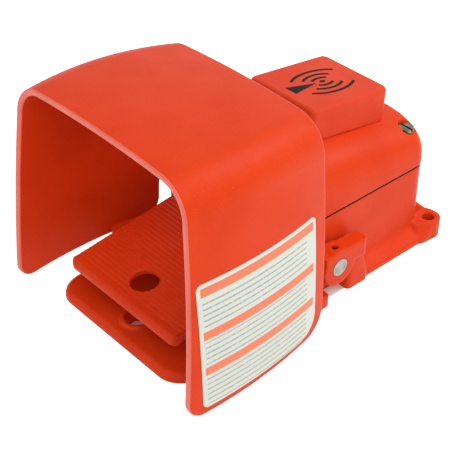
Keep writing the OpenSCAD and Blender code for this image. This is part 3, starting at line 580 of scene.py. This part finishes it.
def makeLabel(form, guard):
    # the film follows the guard's wall: U runs front to rear, V up, and both are kept in mm in the UV map
    lowTurn, highTurn = np.linspace(0, math.pi / 2, 10), np.linspace(0, math.pi / 2, 7)
    lowEnd, highEnd = form["low"] + form["lowRearCorner"], form["high"] - form["corner"]
    h = np.concatenate([form["low"] + form["lowRearCorner"] * (1 - np.cos(lowTurn)),
                        np.linspace(lowEnd, highEnd, 40)[1:-1],
                        form["high"] - form["corner"] * (1 - np.sin(highTurn))])[:, None]
    s = np.linspace(0, 1, 50)[None, :]
    up, down = h - form["low"], form["high"] - h
    y0 = form["front"] + setback(form["corner"], up) + setback(form["corner"], down)
    y1 = form["rear"] - setback(form["lowRearCorner"], up) - setback(form["corner"], down)
    y, z = y0 * (1 - s) + y1 * s, risen(h, form["low"], form["rise"], s)
    front = guard["frontY"] + guard["frontLean"] * z
    rear = guard["rearY"] + guard["rearLean"] * z
    x = guardHalf(guard, (y - front) / (rear - front), z)
    outer = np.stack([x + form["gap"] + form["thickness"], y, z], -1)
    inner = np.stack([x + form["gap"] / 2, y, z], -1)
    rings = np.stack([np.concatenate([o, i[::-1]]) for o, i in zip(outer, inner)])
    middle = (outer + inner) / 2
    first, last = [np.concatenate([middle[row], middle[row][::-1]])[None] for row in (0, -1)]
    rings = np.concatenate([first, rings, last])
    faces = gridFaces(*rings.shape[:2], wrapCols=True)
    piece = makeObject("side_label_film", rings.reshape(-1, 3), faces, sharp=50)
    mesh = piece.data
    where = readPoints(mesh)
    corners = np.empty(len(mesh.loops), int)
    mesh.loops.foreach_get("vertex_index", corners)
    layer = mesh.uv_layers.new(name="filmMm")
    flat = np.stack([where[corners, 1] - form["front"], where[corners, 2]], -1)
    layer.data.foreach_set("uv", flat.ravel())
    dress(piece, [film], "root", ["side_label"])


makeLabel(labelForm, guardForm)
print("label made")


# the base with its box: voxel size in mm, rounds of smoothing, and the points that count as underside
baseForm = {"voxel": 1.05, "rounds": 3, "sink": 3.0, "underside": 0.05}


def makeBase(form):
    # the underside is carried lower while the edges are softened, and cut off flat at the floor
    base = copyNodes(["base_casting", "box_walls"], "base_shell")
    points = readPoints(base.data)
    points[points[:, 2] < form["underside"], 2] -= form["sink"]
    writePoints(base.data, points)
    castSkin(base, form["voxel"], form["rounds"])
    shape = bmesh.new()
    shape.from_mesh(base.data)
    parts = shape.verts[:] + shape.edges[:] + shape.faces[:]
    rim = bmesh.ops.bisect_plane(shape, geom=parts, plane_co=(0, 0, 0), plane_no=(0, 0, 1),
                                 clear_inner=True)
    edges = [e for e in rim["geom_cut"] if isinstance(e, bmesh.types.BMEdge)]
    floor = bmesh.ops.triangle_fill(shape, edges=edges, use_beauty=True, normal=(0, 0, -1))
    for face in floor["geom"]:
        if isinstance(face, bmesh.types.BMFace) and face.normal.z > 0:
            face.normal_flip()
    shape.to_mesh(base.data)
    shape.free()
    smoothShade(base.data, 60)
    dress(base, [paint], "root", ["base_casting", "box_walls"])


makeBase(baseForm)
print("base made")


coverForm = {
    "voxel": 0.95, "rounds": 3,
    "frontY": -2.0, "rearY": 117.0, "half": 55.0, "foot": 61.4, "cornerRadius": 12.0, "cornerShare": 0.85,
    "crestFront": 107.6, "crestRear": 91.0, "lip": 2.6, "lipLength": 6.0, "power": 3.0,
    "catch": (0.5, 0.9),     # mm: points this near to the arch are drawn onto it, fading out
    "endGap": 1.5, "endFade": 2.0,       # mm from the ends in which nothing is drawn, and its fade
}


def makeCover(form):
    # an arch with |x / half|^3 + |z / crest|^3 = 1: half narrows at the round ends, crest falls to the rear
    cover = copyNodes(["cover"], "cover_shell")
    castSkin(cover, form["voxel"], form["rounds"])
    points = readPoints(cover.data)
    y = np.clip(points[:, 1], form["frontY"], form["rearY"])
    s = (y - form["frontY"]) / (form["rearY"] - form["frontY"])
    fromEnd = np.minimum(y - form["frontY"], form["rearY"] - y)
    half = form["half"] - form["cornerShare"] * setback(form["cornerRadius"], fromEnd)
    crest = (form["crestFront"] * (1 - s) + form["crestRear"] * s - form["foot"]
             - form["lip"] * np.clip(1 - fromEnd / form["lipLength"], 0, 1) ** 2)
    across, up = np.abs(points[:, 0] / half), np.clip((points[:, 2] - form["foot"]) / crest, 0, None)
    size = np.maximum((across ** form["power"] + up ** form["power"]) ** (1 / form["power"]), 1e-6)
    off = np.abs(size - 1) * np.hypot(points[:, 0], points[:, 2] - form["foot"])
    near, far = form["catch"]
    inside = np.clip((fromEnd - form["endGap"]) / form["endFade"], 0, 1)
    pull = np.clip((far - off) / (far - near), 0, 1) * inside
    scale = 1 + (1 / size - 1) * pull
    points[:, 0] *= scale
    points[:, 2] = form["foot"] + (points[:, 2] - form["foot"]) * scale
    writePoints(cover.data, points)
    dress(cover, [paint], "root", ["cover"])


makeCover(coverForm)
print("cover made")


treadleForm = {
    "ribPitch": 3.44, "ribVoxels": 5, "rounds": 2,
    "slope": 7.0, "ref": (-92.0, 33.5),       # degrees, and a point on the treadle's top: Y and Z
}


def makeTreadle(form):
    # softened while its plate lies level, on a voxel grid that divides the rib pitch evenly
    treadle = copyNodes(["treadle"], "treadle_plate")
    mesh = treadle.data
    writePoints(mesh, turnAboutX(readPoints(mesh), -form["slope"], form["ref"]))
    castSkin(treadle, form["ribPitch"] / form["ribVoxels"], form["rounds"])
    mesh = treadle.data
    writePoints(mesh, turnAboutX(readPoints(mesh), form["slope"], form["ref"]))
    dress(treadle, [paint], "treadle_assembly", ["treadle"])


makeTreadle(treadleForm)
print("treadle made")


# the radio housing and the plain wireless sign on it
radioForm = {
    "voxel": 0.62, "rounds": 3,
    "slope": -7.3, "centre": (67.5, 96.9), "top": 23.2,      # degrees; Y and Z of the slope's centre; mm
    "raise": 1.6, "widen": 1.05, "skirt": 0.7, "skirtReach": 3.0,   # the housing's top, width and foot
    "ink": (-0.15, 0.12), "stroke": 2.1,                     # mm below and above the top, and line width
    "arcs": ((4.9, 8.8), (9.8, 15.8), (15.2, 26.0)), "arcAngle": 50.0, "arcCentre": (0.9, -6.0),
    "dot": (1.4, 2.7), "mast": ((0.9, -12.0), (-4.4, -35.6), (5.6, -35.2)),
}


def onRadioTop(form, flat):
    # flat: points as X, distance along the slope, height above the top
    angle = math.radians(form["slope"])
    h = form["top"] + flat[..., 2]
    return np.stack([flat[..., 0], form["centre"][0] + flat[..., 1] * math.cos(angle) - h * math.sin(angle),
                     form["centre"][1] + flat[..., 1] * math.sin(angle) + h * math.cos(angle)], -1)


def fitHousing(form, points):
    # carries the top up a little, widens it and lets its foot down to the cover
    angle = math.radians(form["slope"])
    away, up = points[:, 1] - form["centre"][0], points[:, 2] - form["centre"][1]
    u, h = away * math.cos(angle) + up * math.sin(angle), up * math.cos(angle) - away * math.sin(angle)
    lowTop = form["top"] - form["raise"]
    lift, drop = np.clip(h / lowTop, 0, 1), np.clip(1 - h / form["skirtReach"], 0, 1)
    h = h + form["raise"] * lift - form["skirt"] * drop
    return onRadioTop(form, np.stack([points[:, 0] * form["widen"], u, h - form["top"]], -1))


def makeRadio(form):
    # the housing, and its sign: arcs on ellipses round one centre, a dot there and a tapered mast
    housing = copyNodes(["radio_housing"], "radio_shell")
    castSkin(housing, form["voxel"], form["rounds"])
    writePoints(housing.data, fitHousing(form, readPoints(housing.data)))
    dress(housing, [radioPaint], "root", ["radio_housing"])

    low, high = form["ink"]
    parts = []
    for side in (1, -1):
        for a, b in form["arcs"]:
            # an elliptic arc, with a rectangle of ink carried along it
            turn = np.radians(np.linspace(-form["arcAngle"], form["arcAngle"], 40))
            path = np.stack([side * a * np.cos(turn), b * np.sin(turn)], -1) + form["arcCentre"]
            step = unit(np.gradient(path, axis=0))
            out = np.stack([step[:, 1], -step[:, 0]], -1) * form["stroke"] / 2
            corners = [(path + out, low), (path + out, high), (path - out, high), (path - out, low)]
            parts.append(np.stack([np.column_stack([p, np.full(len(p), h)]) for p, h in corners], 1))
    turn = np.linspace(0, 2 * math.pi, 40, endpoint=False)
    dot = np.stack([form["dot"][0] * np.cos(turn), form["dot"][1] * np.sin(turn)], -1) + form["arcCentre"]
    for outline in (dot, np.array(form["mast"])):
        parts.append(np.stack([np.column_stack([outline, np.full(len(outline), h)]) for h in (low, high)]))
    sign = closedRings("radio_sign", [onRadioTop(form, part) for part in parts], sharp=40)
    dress(sign, [ink], "root")


makeRadio(radioForm)
print("radio housing made")


studio = {
    "floor": "#F6F6F4", "glow": 0.8, "world": 0.46,
    "lamps": (("sideSoftbox", (1.0, -0.5, 1.15), 1.0, 10.0),            # place and size in m, watts
              ("frontSoftbox", (-0.3, -1.3, 0.8), 0.8, 3.0),
              ("rearSoftbox", (0.45, 0.75, 1.1), 0.8, 8.0)),
    "aim": (0.0, 0.0, 0.08),
    "floorEdge": 3000.0, "floorDrop": 0.2,                                # mm
    "covered": (63.0, -103.0, 116.0), "holes": (58.0, 120.6, 6.0),   # mm: the floor that the base hides
}


def shownToViewer(tree):
    # 1 for rays that show the background: seen straight, in metal or through glass
    path = addNode(tree, "ShaderNodeLightPath").outputs
    mirrored = calc(tree, "MAXIMUM", path["Is Glossy Ray"], path["Is Transmission Ray"])
    return calc(tree, "MAXIMUM", path["Is Camera Ray"], mirrored)


def makeFloor(settings):
    # the floor glows a little for the viewer alone, except under the base and its holes
    material, tree, place = startMaterial("paleFloor")
    spot = addNode(tree, "ShaderNodeSeparateXYZ", {"Vector": place}).outputs
    side, along = calc(tree, "ABSOLUTE", spot["X"]), spot["Y"]
    half, front, rear = [v * mm for v in settings["covered"]]
    offMiddle = calc(tree, "ABSOLUTE", calc(tree, "SUBTRACT", along, (front + rear) / 2))
    under = calc(tree, "MULTIPLY", calc(tree, "LESS_THAN", side, half),
                 calc(tree, "LESS_THAN", offMiddle, (rear - front) / 2))
    holeX, holeY, reach = [v * mm for v in settings["holes"]]
    offX, offY = calc(tree, "SUBTRACT", side, holeX), calc(tree, "SUBTRACT", along, holeY)
    away = calc(tree, "ADD", calc(tree, "MULTIPLY", offX, offX), calc(tree, "MULTIPLY", offY, offY))
    hidden = calc(tree, "MAXIMUM", under, calc(tree, "LESS_THAN", away, reach * reach))
    glow = calc(tree, "MULTIPLY", calc(tree, "SUBTRACT", 1.0, hidden), settings["glow"])
    shader = addNode(tree, "ShaderNodeBsdfDiffuse", {"Color": linear(settings["floor"])}).outputs[0]
    glowing = addNode(tree, "ShaderNodeEmission", {"Color": linear(settings["floor"]), "Strength": glow})
    both = addNode(tree, "ShaderNodeAddShader", {0: shader, 1: glowing.outputs[0]}).outputs[0]
    mix = addNode(tree, "ShaderNodeMixShader", {0: shownToViewer(tree), 1: shader, 2: both}).outputs[0]
    addNode(tree, "ShaderNodeOutputMaterial", {"Surface": mix})
    edge, level = settings["floorEdge"], -settings["floorDrop"]
    corners = [(-edge, -edge, level), (edge, -edge, level), (edge, edge, level), (-edge, edge, level)]
    floor = makeObject("floor", corners, [(0, 1, 2, 3)])
    floor.data.materials.append(material)


def makeWorld(settings):
    # an even grey light, seen as plain white
    world = bpy.data.worlds.new("studio")
    world.use_nodes = True
    bpy.context.scene.world = world
    tree = world.node_tree
    tree.nodes.clear()
    white = (1, 1, 1, 1)
    lit = addNode(tree, "ShaderNodeBackground", {"Color": white, "Strength": settings["world"]}).outputs[0]
    shown = addNode(tree, "ShaderNodeBackground", {"Color": white, "Strength": 1.0}).outputs[0]
    mix = addNode(tree, "ShaderNodeMixShader", {0: shownToViewer(tree), 1: lit, 2: shown}).outputs[0]
    addNode(tree, "ShaderNodeOutputWorld", {"Surface": mix})


def makeLamps(settings):
    # each lamp faces the aim: tilted by its angle off the vertical, then turned about Z
    for name, place, size, power in settings["lamps"]:
        data = bpy.data.lights.new(name, "AREA")
        data.size = size
        data.energy = power
        lamp = bpy.data.objects.new(name, data)
        lamp.location = place
        away = np.array(place) - settings["aim"]
        tilt, turn = math.atan2(math.hypot(away[0], away[1]), away[2]), math.atan2(away[0], -away[1])
        lamp.rotation_euler = (tilt, 0, turn)
        bpy.context.scene.collection.objects.link(lamp)


makeFloor(studio)
makeWorld(studio)
makeLamps(studio)
bpy.context.scene.view_settings.view_transform = "Standard"
print("studio made")
